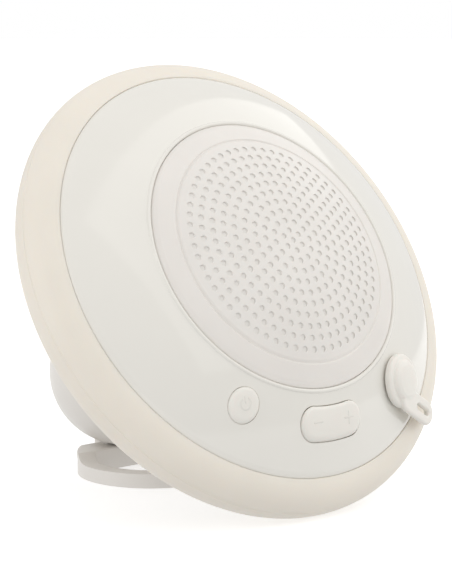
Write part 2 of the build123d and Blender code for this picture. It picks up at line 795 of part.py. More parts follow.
speaker_pieces = {
    "front_bezel": bezel(),
    "speaker_cover": cover(),
    "cover_seal": cover_seal(),
    "waterproof_membrane": membrane(),
    "bumper_ring": bumper(),
    "rear_shell": rear_shell(),
    "case_seal": case_seal(),
    "case_screws": case_screws(),
    "driver_frame": driver_basket(),
    "driver_gasket": driver_gasket(),
    "driver_screws": driver_screws(),
    "cone_surround": surround(),
    "speaker_cone": cone(),
    "dust_cap": dust_cap(),
    "spider": spider(),
    "voice_coil": voice_coil(),
    "front_plate": front_plate(),
    "magnet": magnet(),
    "magnet_yoke": magnet_yoke(),
    "control_board": control_board(),
    "power_switch": power_switch(),
    "volume_switches": volume_switches(),
    "power_button": power_button(),
    "volume_rocker": volume_rocker(),
    "audio_socket": audio_socket(),
    "socket_plug": socket_plug(),
    "amplifier_board": amplifier_board(),
    "amplifier_chip": amplifier_chip(),
    "capacitors": capacitors(),
    "board_screws": board_screws(),
    "battery_holder": battery_holder(),
    "battery_cells": battery_cells(),
    "front_contacts": front_contacts(),
    "rear_contacts": rear_contacts(),
    "speaker_leads": speaker_leads(),
    "battery_leads": battery_leads(),
    "control_leads": control_leads(),
    "cap_seal": cap_seal(),
}
table_pieces = {
    "battery_cap": battery_cap(),
    "stand_loop": stand_loop(),
    "stand_pin": stand_pin(),
}

os.makedirs("parts", exist_ok=True)
for name, piece in speaker_pieces.items():
    export_step(speaker_frame * piece, f"parts/{name}.step")
for name, piece in table_pieces.items():
    export_step(piece, f"parts/{name}.step")
print("speaker origin", round(SPEAKER_Y, 3), round(SPEAKER_Z, 3))
print("hinge", round(HINGE_Y, 3), round(HINGE_Z, 3))
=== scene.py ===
import json
import math

import bmesh
import bpy
from mathutils import Matrix, Vector


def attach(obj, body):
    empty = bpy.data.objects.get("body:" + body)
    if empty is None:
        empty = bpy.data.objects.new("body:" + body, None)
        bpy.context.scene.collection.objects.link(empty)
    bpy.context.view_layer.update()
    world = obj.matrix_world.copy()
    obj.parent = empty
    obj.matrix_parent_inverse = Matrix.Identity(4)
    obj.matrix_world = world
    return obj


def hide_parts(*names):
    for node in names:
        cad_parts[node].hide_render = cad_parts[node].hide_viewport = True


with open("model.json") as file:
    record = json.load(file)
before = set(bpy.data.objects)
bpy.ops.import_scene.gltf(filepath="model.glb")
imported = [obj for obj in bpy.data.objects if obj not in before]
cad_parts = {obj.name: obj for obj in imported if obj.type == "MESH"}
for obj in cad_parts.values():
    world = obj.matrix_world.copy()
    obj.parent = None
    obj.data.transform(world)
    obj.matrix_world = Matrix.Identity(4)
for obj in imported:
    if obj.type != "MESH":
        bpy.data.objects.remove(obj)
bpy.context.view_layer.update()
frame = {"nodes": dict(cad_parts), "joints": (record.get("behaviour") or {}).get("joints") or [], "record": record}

MM = 0.001

# ---------------------------------------------------------------- sizes
#
# All in mm and degrees, in the speaker's own frame, and as in the CAD model unless a comment says
# otherwise. Angles on the face are taken from straight down.

# The cover's dome
FACE_APEX = 24.7
FACE_SPHERE = 133.6
COVER_R = 51.8
COVER_THICK = 1.8
COVER_SEAT_Z = 11.9
DOME_R = 43.6
HOLE_PITCH = 3.93
HOLE_RINGS = 10
HOLE_R = 0.97

# The visual cover is thin over its holes, with the membrane right behind it
COVER_THIN = 0.48
MEMBRANE_R = 45.0
MEMBRANE_GAP = 0.05
MEMBRANE_THICK = 0.3

# The bezel: its outer surface is one arc through three places
BEZEL_R = 79.4
BEZEL_INNER_R = 52.2
BEZEL_INNER_Z = 13.9
BEZEL_MID = (66.0, 7.9)
BEZEL_EDGE_Z = 0.1
CROWN_START_R = 54.0
CROWN_END_R = 77.8
RIM_INNER_R = 76.4
WALL_R = 54.6
LEDGE_R = 36.5
LEDGE_LOW = 8.6
LEDGE_TOP = 10.8

# The visual bezel's inner lip is rounded, and closer to the cover than in the CAD model
LIP_R = 51.84
LIP_TOP = 14.15

# The bumper, a round tube clipped over both rims, and the angle of its parting line
BUMPER_R = 78.3
BUMPER_Z = -11.2
BUMPER_TUBE = 11.0
PARTING_ANGLE = 12.0

# The keys, a little smaller than in the CAD model, so that the gaps round them look narrow
CONTROL_R = 62.8
POWER_ANGLE = -34.5
BUTTON_R = 5.8
ROCKER_R = 63.2
ROCKER_HALF_ANGLE = 12.8
ROCKER_WIDTH = 11.4
KEY_GAP = 0.08
ROCK_ROOM = 0.16
POWER_TOP = 10.5
ROCKER_TOP = 10.3
KEY_TILT = 25.6
KEY_CROWN = 0.25
KEY_DEPTH = 6.0
SHOULDER = 2.1
WELL_DEPTH = 9.0

# The signs on the keys: how far a stroke reaches, and its section of (distance, rise)
MARK_REACH = 1.9
MARK_PLACE = 6.6
MARK_SECTION = [(0, 0.13), (0.15, 0.12), (0.24, 0.07), (0.3, -0.1)]
POWER_GAP = 76

# The audio socket and its plug
SOCKET_ANGLE = 36.5
SOCKET_R = 65.0
SOCKET_TILT = 26.8
SOCKET_Z = 8.5
SOCKET_WELL_R = 6.4
PLUG_R = 9.8
PLUG_STEM_R = 6.1
TAB_START = (6.0, -3.6)
TAB_END = (17.3, 2.6)
TAB_TOP = 4.3

# The bowl, neck and cap
RIM_SPLIT_Z = -8.2
RIM_BACK_Z = -18.4
BULKHEAD_Z = -48.0
BULKHEAD_THICK = 1.6
NECK_R = 28.0
NECK_END_Z = -77.6
SPIGOT_R = 25.4
SPIGOT_END_Z = -87.0
CAP_R = 28.6
CAP_WALL = 2.4
CAP_EDGE_Z = -78.0
CAP_CENTRE_Z = -88.5
GRIP_COUNT = 16
GRIP_LOW = -87.5
GRIP_HIGH = -80.5
GRIP_R = 1.9
GRIP_END = 0.9
SCREW_CIRCLE = 63.0
CASE_SCREW_ANGLES = (62, 112, 160, 200, 248, 298)

# The loop, its hinge and the lug on the cap
LOOP_R = 28.3
LOOP_HOLE_R = 21.6
LOOP_THICK = 5.4
LOOP_AHEAD = 24.1
WEB_AHEAD = 10.9
WEB_TOP = 8.3
KNUCKLE_R = 4.2
KNUCKLE_SEEN = 14.9
LUG_HALF = 6.0
PIN_R = 1.5

# Fineness and shading: the angles from which an edge is shaded sharp, or is softened, how close to a
# surface a corner has to lie to take its normal, and the least cosine between the two normals
TURN_STEPS = 256
SHARP_ANGLE = 35
KEY_SHARP_ANGLE = 50
SOFTENED_ANGLE = 40
SURFACE_REACH = 0.02
NEAR_NORMAL = 0.985

# The studio's floor
FLOOR_R = 6000
FLOOR_THICK = 40
FLOOR_GLOW = 0.42

# Light, with lengths in m. The softbox's corners are for a height of 1 m.
SKY_STRENGTH = 0.82
GROUND_STRENGTH = 0.72
BACKDROP_STRENGTH = 1.0
SOFTBOX_STRENGTH = 1.35
SOFTBOX_HEIGHT = 1.7
SOFTBOX_CORNERS = [(-0.27, -0.35), (2.2, 1.25), (2.6, -2.6), (0.05, -3.2)]
PANEL_SIZE = 1.3
LEFT_PANEL = (-1.7, 0.25, 0.5)
LEFT_WATTS = 7.0
RIGHT_PANEL = (1.7, -0.5, 0.4)
RIGHT_WATTS = 3.0
PANEL_TARGET = (0, 0, 0.08)

# Camera: the way it looks, in degrees, and its place from the speaker's origin, in m
CAMERA_AZIMUTH = -40.93
CAMERA_ELEVATION = 8.2
CAMERA_LENS = 134.0
CAMERA_SENSOR = 36.0
CAMERA_BACK = 0.777296
CAMERA_LEFT = 0.009816
CAMERA_DOWN = 0.007616


# ---------------------------------------------------------------- the speaker's own frame
#
# Z is the speaker's axis, out of the face, X is to the right and Y is up the face. The origin is
# where the bezel's edge meets the bumper. The loop and its hinge are drawn in the ground's frame.

def frame_matrix(x_axis, y_axis, z_axis, origin):
    """The matrix that carries a frame with these axes and origin to the scene."""
    turn = Matrix((x_axis, y_axis, z_axis)).transposed().to_4x4()
    return Matrix.Translation(origin) @ turn


joints = {joint["name"]: joint for joint in frame["joints"]}
axis_out = -Vector(joints["cap_turn"]["axis"])
axis_right = Vector((1, 0, 0))
axis_up = axis_out.cross(axis_right)
speaker_origin = Vector(joints["cap_turn"]["pos_m"]) - axis_out * CAP_CENTRE_Z * MM
ground_matrix = Matrix.Scale(MM, 4)
speaker_matrix = frame_matrix(axis_right, axis_up, axis_out, speaker_origin) @ ground_matrix
to_speaker = speaker_matrix.inverted()
hinge = Vector(joints["loop_fold"]["pos_m"])
hinge_y, hinge_z = hinge.y / MM, hinge.z / MM


# ---------------------------------------------------------------- outlines

def circle_through(start, middle, end):
    """Centre and radius of the circle through three places."""
    (ax, ay), (bx, by), (cx, cy) = start, middle, end
    double = 2 * (ax * (by - cy) + bx * (cy - ay) + cx * (ay - by))
    a2, b2, c2 = ax * ax + ay * ay, bx * bx + by * by, cx * cx + cy * cy
    x = (a2 * (by - cy) + b2 * (cy - ay) + c2 * (ay - by)) / double
    y = (a2 * (cx - bx) + b2 * (ax - cx) + c2 * (bx - ax)) / double
    return x, y, math.hypot(ax - x, ay - y)


def arc_points(start, middle, end, steps):
    """Points along the arc through three places, both ends included."""
    x, y, radius = circle_through(start, middle, end)
    first, passing, last = [math.atan2(q - y, p - x) for p, q in (start, middle, end)]
    turn = (last - first) % math.tau
    if (passing - first) % math.tau > turn:
        turn -= math.tau
    angles = [first + turn * i / steps for i in range(steps + 1)]
    return [(x + radius * math.cos(a), y + radius * math.sin(a)) for a in angles]


def rounded(corners, steps=5):
    """A closed outline from (x, y, radius) corners, each rounded by its own radius.

    A radius is cut back where it would take more than half of a side.
    """
    outline = []
    count = len(corners)
    for i, (x, y, radius) in enumerate(corners):
        here = Vector((x, y))
        if radius <= 0:
            outline.append((x, y))
            continue
        before = Vector(corners[i - 1][:2]) - here
        after = Vector(corners[(i + 1) % count][:2]) - here
        half = before.angle(after) / 2
        reach = min(radius / math.tan(half), before.length * 0.49, after.length * 0.49)
        radius = reach * math.tan(half)
        centre = here + (before.normalized() + after.normalized()).normalized() * (
            radius / math.sin(half)
        )
        first = here + before.normalized() * reach - centre
        last = here + after.normalized() * reach - centre
        sweep = first.angle_signed(last)
        for k in range(steps + 1):
            spoke = first.copy()
            spoke.rotate(Matrix.Rotation(-sweep * k / steps, 2))
            outline.append(tuple(centre + spoke))
    return outline


def sphere_height(radius, offset=0.0):
    """Height of the face's dome, or of a shell that far below it."""
    return FACE_APEX - FACE_SPHERE + math.sqrt((FACE_SPHERE - offset) ** 2 - radius**2)


def dome_points(start, end, steps, offset=0.0):
    """The section of the dome, or of a shell that far below it, from one radius to another."""
    radii = [start + (end - start) * i / steps for i in range(steps + 1)]
    return [(r, sphere_height(r, offset)) for r in radii]


bezel_x, bezel_y, bezel_ball = circle_through(
    (BEZEL_INNER_R, BEZEL_INNER_Z), BEZEL_MID, (BEZEL_R, BEZEL_EDGE_Z)
)


def bezel_height(radius):
    """Height of the bezel's outer surface."""
    return bezel_y + math.sqrt(bezel_ball**2 - (radius - bezel_x) ** 2)


def on_face(radius, angle):
    """The x and y of a place on the face, its angle taken from straight down."""
    turn = math.radians(angle)
    return radius * math.sin(turn), -radius * math.cos(turn)


def around(count, radius, start=0.0):
    """Evenly spaced places on a circle."""
    angles = [math.radians(start + 360 * i / count) for i in range(count)]
    return [(radius * math.cos(a), radius * math.sin(a)) for a in angles]


# ---------------------------------------------------------------- meshes

def make_object(name, bm, matrix=speaker_matrix, sharp=SHARP_ANGLE):
    """A smooth-shaded object from a bmesh, which the matrix carries to the scene."""
    bmesh.ops.recalc_face_normals(bm, faces=bm.faces)
    bm.transform(matrix)
    mesh = bpy.data.meshes.new(name)
    bm.to_mesh(mesh)
    bm.free()
    mesh.shade_smooth()
    mesh.set_sharp_from_angle(angle=math.radians(sharp))
    obj = bpy.data.objects.new(name, mesh)
    bpy.context.scene.collection.objects.link(obj)
    return obj


def lathe(outline, steps=TURN_STEPS, closed=True):
    """A bmesh turned about Z from an outline of (radius, height)."""
    bm = bmesh.new()
    rings = []
    for radius, height in outline:
        if radius < 1e-6:
            rings.append([bm.verts.new((0, 0, height))] * steps)
            continue
        ring = []
        for i in range(steps):
            turn = math.tau * i / steps
            ring.append(bm.verts.new((radius * math.cos(turn), radius * math.sin(turn), height)))
        rings.append(ring)
    following = rings[1:] + rings[:1] if closed else rings[1:]
    for low, high in zip(rings, following):
        for i in range(steps):
            j = (i + 1) % steps
            corners = []
            for vert in (low[i], low[j], high[j], high[i]):
                if vert not in corners:
                    corners.append(vert)
            if len(corners) > 2:
                bm.faces.new(corners)
    return bm


def offset_loop(spine, distance, cap_steps=10):
    """A closed loop at one distance round a spine of one or more (x, y) points."""
    if len(spine) == 1:
        x, y = spine[0]
        return [(x + dx, y + dy) for dx, dy in around(4 * cap_steps, distance)]
    normals = []
    for i in range(len(spine)):
        before = Vector(spine[max(i - 1, 0)])
        after = Vector(spine[min(i + 1, len(spine) - 1)])
        along = (after - before).normalized()
        normals.append(Vector((-along.y, along.x)))
    loop = [tuple(Vector(p) + n * distance) for p, n in zip(spine, normals)]
    for k in range(1, cap_steps):
        spoke = normals[-1].copy()
        spoke.rotate(Matrix.Rotation(-math.pi * k / cap_steps, 2))
        loop.append(tuple(Vector(spine[-1]) + spoke * distance))
    loop += [tuple(Vector(p) - n * distance) for p, n in reversed(list(zip(spine, normals)))]
    for k in range(1, cap_steps):
        spoke = -normals[0]
        spoke.rotate(Matrix.Rotation(-math.pi * k / cap_steps, 2))
        loop.append(tuple(Vector(spine[0]) + spoke * distance))
    return loop


def pad(bm, spine, section, height, cap_steps=10):
    """Adds a pad round a spine, which lies on a surface.

    The section is (distance, rise) from its middle out and down. height gives the surface's height
    at (x, y), to which the rise is added.
    """
    loops = []
    for distance, rise in section:
        points = offset_loop(spine, max(distance, 1e-4), cap_steps)
        loops.append([bm.verts.new((x, y, height(x, y) + rise)) for x, y in points])
    for inner, outer in zip(loops, loops[1:]):
        for i in range(len(inner)):
            j = (i + 1) % len(inner)
            bm.faces.new((inner[i], outer[i], outer[j], inner[j]))
    bm.faces.new(loops[0])
    bm.faces.new(list(reversed(loops[-1])))
    bmesh.ops.remove_doubles(bm, verts=loops[0], dist=2e-3)


def prism(outline, low, high):
    """A bmesh prism between two heights."""
    bm = bmesh.new()
    bottom = [bm.verts.new((x, y, low)) for x, y in outline]
    top = [bm.verts.new((x, y, high)) for x, y in outline]
    bm.faces.new(list(reversed(bottom)))
    bm.faces.new(top)
    for i in range(len(outline)):
        j = (i + 1) % len(outline)
        bm.faces.new((bottom[i], bottom[j], top[j], top[i]))
    return bm


def rod(radius, low, high, x=0.0, y=0.0, steps=48):
    """A bmesh cylinder along Z, between two heights."""
    bm = prism(around(steps, radius), low, high)
    bm.transform(Matrix.Translation((x, y, 0)))
    return bm


def box_mesh(across, along, up):
    """A bmesh block from its ranges in x, y and z."""
    (x0, x1), (y0, y1) = across, along
    return prism([(x0, y0), (x1, y0), (x1, y1), (x0, y1)], *up)


def join(target, *others):
    """Adds other bmeshes to the first one, and frees them."""
    for other in others:
        mesh = bpy.data.meshes.new("joined")
        other.to_mesh(mesh)
        other.free()
        target.from_mesh(mesh)
        bpy.data.meshes.remove(mesh)
    return target


def apply_modifiers(obj):
    """Makes an object's modifiers part of its mesh."""
    graph = bpy.context.evaluated_depsgraph_get()
    mesh = bpy.data.meshes.new_from_object(obj.evaluated_get(graph))
    obj.modifiers.clear()
    old = obj.data
    obj.data = mesh
    bpy.data.meshes.remove(old)
    mesh.name = obj.name


def boolean(obj, tool, operation="DIFFERENCE"):
    """Cuts obj with a tool object, or joins it, and removes the tool."""
    step = obj.modifiers.new("cut", "BOOLEAN")
    step.operation = operation
    step.solver = "MANIFOLD"
    step.object = tool
    apply_modifiers(obj)
    bpy.data.objects.remove(tool)
    obj.data.shade_smooth()
    obj.data.set_sharp_from_angle(angle=math.radians(SHARP_ANGLE))


def soften_edges(obj, offset, chosen, segments=3):
    """Bevels, by an offset in mm, the sharp edges whose middle, a place in metres, is chosen."""
    bm = bmesh.new()
    bm.from_mesh(obj.data)
    edges = [
        e for e in bm.edges
        if len(e.link_faces) == 2 and e.calc_face_angle(0) > math.radians(SOFTENED_ANGLE)
        and chosen((e.verts[0].co + e.verts[1].co) / 2)
    ]
    bmesh.ops.bevel(
        bm, geom=edges, offset=offset * MM, segments=segments, profile=0.5, affect="EDGES",
        clamp_overlap=True,
    )
    bm.to_mesh(obj.data)
    bm.free()
    obj.data.shade_smooth()
    obj.data.set_sharp_from_angle(angle=math.radians(SHARP_ANGLE))


def melt(obj, voxel, smooth_steps):
    """Remeshes a piece in voxels of so many mm and relaxes it, which rounds its edges."""
    step = obj.modifiers.new("remesh", "REMESH")
    step.mode = "VOXEL"
    step.voxel_size = voxel * MM
    step = obj.modifiers.new("relax", "SMOOTH")
    step.factor = 0.5
    step.iterations = smooth_steps
    apply_modifiers(obj)
    obj.data.shade_smooth()


def follow_surface(obj, normal_at):
    """Gives the corners that lie on a known surface that surface's own normals."""
    mesh = obj.data
    normals = []
    for poly in mesh.polygons:
        for loop_index in poly.loop_indices:
            place = mesh.vertices[mesh.loops[loop_index].vertex_index].co
            exact = normal_at(place)
            own = mesh.corner_normals[loop_index].vector
            if exact is not None and poly.normal.dot(exact) > NEAR_NORMAL:
                normals.append(exact)
            else:
                normals.append(Vector(own))
    mesh.normals_split_custom_set([n.normalized() for n in normals])


# ---------------------------------------------------------------- the face

def bezel_normal(place):
    """The bezel's own normal at a place in metres, if the place lies on its outer surface."""
    local = to_speaker @ place
    radius = math.hypot(local.x, local.y)
    if not CROWN_START_R + 0.3 < radius < CROWN_END_R - 0.1:
        return None
    if abs(local.z - bezel_height(radius)) > SURFACE_REACH:
        return None
    slope = (radius - bezel_x) / radius
    outward = Vector((local.x * slope, local.y * slope, local.z - bezel_y))
    return (speaker_matrix.to_3x3() @ outward).normalized()


def dome_normal(place):
    """The dome's own normal at a place in metres, if the place lies on it."""
    local = to_speaker @ place
    radius = math.hypot(local.x, local.y)
    if radius > COVER_R - 1.6 or abs(local.z - sphere_height(radius)) > SURFACE_REACH:
        return None
    outward = Vector((local.x, local.y, local.z - FACE_APEX + FACE_SPHERE))
    return (speaker_matrix.to_3x3() @ outward).normalized()


def bezel_surface(x, y):
    """Height of the bezel's outer surface at a place on the face."""
    return bezel_height(math.hypot(x, y))


def arc_spine(radius, half_angle, steps=18):
    """Places along a circle about the speaker's axis, either side of straight down."""
    return [on_face(radius, -half_angle + 2 * half_angle * i / steps) for i in range(steps + 1)]


power_place = on_face(CONTROL_R, POWER_ANGLE)
rocker_spine_angle = ROCKER_HALF_ANGLE - math.degrees(ROCKER_WIDTH / 2 / ROCKER_R)
rocker_spine = arc_spine(ROCKER_R, rocker_spine_angle)
socket_x, socket_y = on_face(SOCKET_R, SOCKET_ANGLE)
socket_out = Vector((socket_x, socket_y, 0)).normalized()
tilt_cos = math.cos(math.radians(SOCKET_TILT))
tilt_sin = math.sin(math.radians(SOCKET_TILT))
socket_x_axis = socket_out * tilt_cos - Vector((0, 0, tilt_sin))
socket_z_axis = socket_out * tilt_sin + Vector((0, 0, tilt_cos))
socket_y_axis = socket_z_axis.cross(socket_x_axis)
socket_matrix = speaker_matrix @ frame_matrix(
    socket_x_axis, socket_y_axis, socket_z_axis, (socket_x, socket_y, SOCKET_Z)
)


def well(spine, reach):
    """A cutter for a key's well, flared where it meets the bezel's surface."""
    bm = bmesh.new()
    section = [(0, 1.0), (reach + 1.0, 1.0), (reach + 0.06, -0.05), (reach, -0.2), (reach, -WELL_DEPTH)]
    pad(bm, spine, section, bezel_surface, 16)
    return make_object("well", bm)


def at_case_screws(obj, name, radius, low, high, operation="DIFFERENCE"):
    """Cuts a round hole at each case screw, or adds a post there."""
    rods = [rod(radius, low, high, *on_face(SCREW_CIRCLE, angle)) for angle in CASE_SCREW_ANGLES]
    boolean(obj, make_object(name, join(*rods)), operation)


def make_bezel():
    """The glossy ring with a rounded inner lip, wells for the keys and posts for the case screws."""
    lip = arc_points((LIP_R, LIP_TOP - 0.85), (LIP_R + 0.75, LIP_TOP), (LIP_R + 1.6, LIP_TOP - 0.7), 12)
    radii = [CROWN_START_R + (CROWN_END_R - CROWN_START_R) * i / 60 for i in range(61)]
    crown = [(r, bezel_height(r)) for r in radii]
    turn_r = BEZEL_R - 1.1
    edge = [(turn_r, bezel_height(turn_r) - 0.06), (BEZEL_R - 0.6, 0.2), (BEZEL_R - 0.2, -0.15)]
    rim = [(BEZEL_R, -0.7), (BEZEL_R, RIM_SPLIT_Z), (RIM_INNER_R, RIM_SPLIT_Z)]
    inside = arc_points((RIM_INNER_R, -1.4), (65.0, 5.4), (WALL_R, 9.9), 24)
    ledge = [(WALL_R, LEDGE_LOW), (LEDGE_R, LEDGE_LOW), (LEDGE_R, LEDGE_TOP), (LIP_R, LEDGE_TOP)]
    bezel = make_object("bezel_shell", lathe(lip + crown + edge + rim + inside + ledge))
    at_case_screws(bezel, "posts", radius=3.4, low=-7.0, high=5.0, operation="UNION")
    at_case_screws(bezel, "pilots", radius=1.25, low=-8.0, high=2.0)
    boolean(bezel, well([power_place], BUTTON_R + KEY_GAP))
    boolean(bezel, well(rocker_spine, ROCKER_WIDTH / 2 + KEY_GAP))
    boolean(bezel, make_object("socket_well", rod(SOCKET_WELL_R, -6, 4), socket_matrix))
    follow_surface(bezel, bezel_normal)
    return bezel


def make_cover():
    """The domed cover: a plain band, a soft double groove and rings of countersunk sound holes."""
    top = dome_points(0, DOME_R - 1.0, 40)
    half_groove = [(0.6, -0.06), (0.35, -0.3), (0.12, -0.46)]
    groove = [(DOME_R - off, sphere_height(DOME_R - off) + drop) for off, drop in half_groove]
    groove += [(DOME_R + off, sphere_height(DOME_R + off) + drop) for off, drop in reversed(half_groove)]
    band = dome_points(DOME_R + 1.0, COVER_R - 1.5, 10)
    edge_z = sphere_height(COVER_R)
    brim = [
        (COVER_R - 0.75, edge_z + 0.05), (COVER_R - 0.35, edge_z - 0.15), (COVER_R - 0.08, edge_z - 0.5),
        (COVER_R, COVER_SEAT_Z + 0.9), (COVER_R, COVER_SEAT_Z), (COVER_R - 1.9, COVER_SEAT_Z),
    ]
    under = dome_points(COVER_R - 1.9, DOME_R - 1.2, 8, COVER_THICK)
    under += dome_points(DOME_R - 1.8, 0, 30, COVER_THIN)
    outline = top + groove + band + brim + under
    cover = make_object("cover_dome", lathe(outline))
    pins = bmesh.new()
    section = [
        (0, 1.0), (HOLE_R + 1.6, 1.0), (HOLE_R + 0.38, 0.05), (HOLE_R + 0.18, -0.06),
        (HOLE_R + 0.04, -0.2), (HOLE_R, -0.4), (HOLE_R, -5.0),
    ]
    places = [(0.0, 0.0)]
    for ring in range(1, HOLE_RINGS + 1):
        places += around(6 * ring, HOLE_PITCH * ring, 90)
    for place in places:
        pad(pins, [place], section, lambda x, y: sphere_height(math.hypot(x, y)), 5)
    boolean(cover, make_object("pins", pins))
    follow_surface(cover, dome_normal)
    return cover


def make_membrane():
    """The pale water barrier, right behind the sound holes, turned down to its seat at the edge."""
    front = COVER_THIN + MEMBRANE_GAP
    over = dome_points(0, DOME_R - 2.4, 40, front)
    back = dome_points(DOME_R - 2.6, 0, 40, front + MEMBRANE_THICK)
    edge = [(DOME_R - 2.0, 11.4), (MEMBRANE_R, 11.2), (MEMBRANE_R, 10.9), (DOME_R - 2.6, 10.9)]
    return make_object("membrane_dome", lathe(over + edge + back))


def make_bumper():
    """The soft ring, with a fine parting line round its outside."""
    inner = BEZEL_R + 0.03
    first_r = inner + 0.45
    lip_z = RIM_BACK_Z - 0.3
    first = math.degrees(math.acos((first_r - BUMPER_R) / BUMPER_TUBE))
    last = -180 + math.degrees(math.asin((BUMPER_Z - lip_z) / BUMPER_TUBE))
    angles = [first + (last - first) * i / 84 for i in range(85)]
    section = [(a, 0.0) for a in angles if abs(a - PARTING_ANGLE) > 1.2]
    seam = [(0.9, 0.0), (0.45, -0.12), (-0.45, -0.12), (-0.9, 0.0)]
    section += [(PARTING_ANGLE + off, dip) for off, dip in seam]
    section.sort(reverse=True)
    outline = []
    for angle, rise in section:
        turn = math.radians(angle)
        reach = BUMPER_TUBE + rise
        outline.append((BUMPER_R + reach * math.cos(turn), BUMPER_Z + reach * math.sin(turn)))
    outline += [(outline[-1][0] + 0.3, lip_z), (inner, lip_z)]
    outline += arc_points((inner, -0.8), (inner + 0.12, -0.45), (inner + 0.4, -0.31), 5)
    return make_object("bumper", lathe(outline))


# ---------------------------------------------------------------- keys

def key_height(centre_height, angle, centre_radius):
    """A function for the height of a key's sloping top, which falls outward along one direction."""
    out_x, out_y = on_face(1.0, angle)
    slope = math.tan(math.radians(KEY_TILT))

    def height(x, y):
        return centre_height - (x * out_x + y * out_y - centre_radius) * slope

    return height


power_height = key_height(POWER_TOP, POWER_ANGLE, CONTROL_R)
rocker_height = key_height(ROCKER_TOP, 0, ROCKER_R)


def key_section(reach):
    """A rubber key's section: a slight crown, a rounded shoulder and a straight side."""
    turns = [math.pi / 2 * i / 8 for i in range(1, 9)]
    edge = reach - SHOULDER
    shoulder = [(edge + SHOULDER * math.sin(a), SHOULDER * (math.cos(a) - 1) * 0.8) for a in turns]
    top = [(edge * t, KEY_CROWN * (1 - t**2)) for t in (0, 0.25, 0.5, 0.75)]
    return top + [(edge, 0)] + shoulder + [(reach, -KEY_DEPTH)]


def make_power_key():
    """The round key, with its flange and the stem that meets its switch."""
    bm = bmesh.new()
    pad(bm, [power_place], key_section(BUTTON_R), power_height, 14)
    stem = rod(2.2, -2.0, 3.0, *power_place)
    flange = rod(BUTTON_R + 0.8, 1.2, 2.5, *power_place)
    return make_object("power_key_cap", join(bm, stem, flange), sharp=KEY_SHARP_ANGLE)


def make_volume_key():
    """The bent rocker, with a stem over each of its switches."""
    bm = bmesh.new()
    pad(bm, rocker_spine, key_section(ROCKER_WIDTH / 2 - ROCK_ROOM), rocker_height, 14)
    for side in (-1, 1):
        join(bm, rod(2.0, -2.0, 4.0, *on_face(ROCKER_R - 1, side * 6.5)))
    return make_object("volume_key_cap", bm, sharp=KEY_SHARP_ANGLE)


def make_marks(name, spines, height):
    """Thin marks that lie on a key's top."""
    bm = bmesh.new()
    for spine in spines:
        pad(bm, spine, MARK_SECTION, height, 5)
    return make_object(name, bm)


def crowned(height, spine_distance, reach):
    """A function for the height of a key's crowned top."""
    def top(x, y):
        t = min(spine_distance(x, y) / (reach - SHOULDER), 1)
        return height(x, y) + KEY_CROWN * (1 - t**2)

    return top


def make_power_mark():
    """The usual power sign: an open ring with a bar in its gap."""
    cx, cy = power_place
    ring = [math.radians(90 + POWER_GAP / 2 + (360 - POWER_GAP) * i / 24) for i in range(25)]
    spines = [
        [(cx + MARK_REACH * math.cos(a), cy + MARK_REACH * math.sin(a)) for a in ring],
        [(cx, cy + 0.3), (cx, cy + MARK_REACH + 0.4)],
    ]
    top = crowned(power_height, lambda x, y: math.hypot(x - cx, y - cy), BUTTON_R)
    return make_marks("power_mark", spines, top)


def make_volume_marks():
    """A minus and a plus near the rocker's ends."""
    (left, left_y), (right, right_y) = on_face(ROCKER_R, -MARK_PLACE), on_face(ROCKER_R, MARK_PLACE)
    spines = [
        [(left - MARK_REACH, left_y), (left + MARK_REACH, left_y)],
        [(right - MARK_REACH, right_y), (right + MARK_REACH, right_y)],
        [(right, right_y - MARK_REACH), (right, right_y + MARK_REACH)],
    ]
    reach = ROCKER_WIDTH / 2 - ROCK_ROOM
    top = crowned(rocker_height, lambda x, y: abs(math.hypot(x, y) - ROCKER_R), reach)
    return make_marks("volume_marks", spines, top)


def make_plug():
    """The rubber plug: a wide flange, a domed disc and a pull loop with a slot."""
    flange = lathe(rounded([(0.0, 0.35, 0), (PLUG_R, 0.35, 0.3), (PLUG_R, 2.9, 1.3), (0.0, 2.9, 0)]), 96)
    dome = [(0, 5.2), (3.5, 5.1), (5.6, 4.85), (6.8, 4.35), (7.5, 3.6), (7.8, 2.4), (0, 2.4)]
    half_tab = [(0, 0), (3.6, 0), (4.2, -0.2), (4.5, -0.6), (4.6, -1.2)]
    tab_section = half_tab + [(4.5, -1.8), (4.2, -2.2), (3.6, -2.4)]
    slot_section = [(0, 1.0), (2.4, 1.0), (1.1, -0.5), (1.0, -1.2), (1.1, -1.9), (2.4, -3.4)]
    start, end = Vector(TAB_START), Vector(TAB_END)
    along = (end - start).normalized()
    tab = bmesh.new()
    pad(tab, [tuple(start), tuple(end)], tab_section, lambda x, y: TAB_TOP, 16)
    slot = bmesh.new()
    near, far = end - along * 6.3, end + along * 0.3
    pad(slot, [tuple(near), tuple(far)], slot_section, lambda x, y: TAB_TOP, 12)
    plug = make_object("plug_body", flange, socket_matrix)
    for name, bm in (("disc", lathe(dome, 96)), ("stem", rod(PLUG_STEM_R, -1.0, 0.6)), ("tab", tab)):
        boolean(plug, make_object(name, bm, socket_matrix), "UNION")
    boolean(plug, make_object("slot", slot, socket_matrix))
    melt(plug, 0.2, 5)
    return plug


# ---------------------------------------------------------------- the back

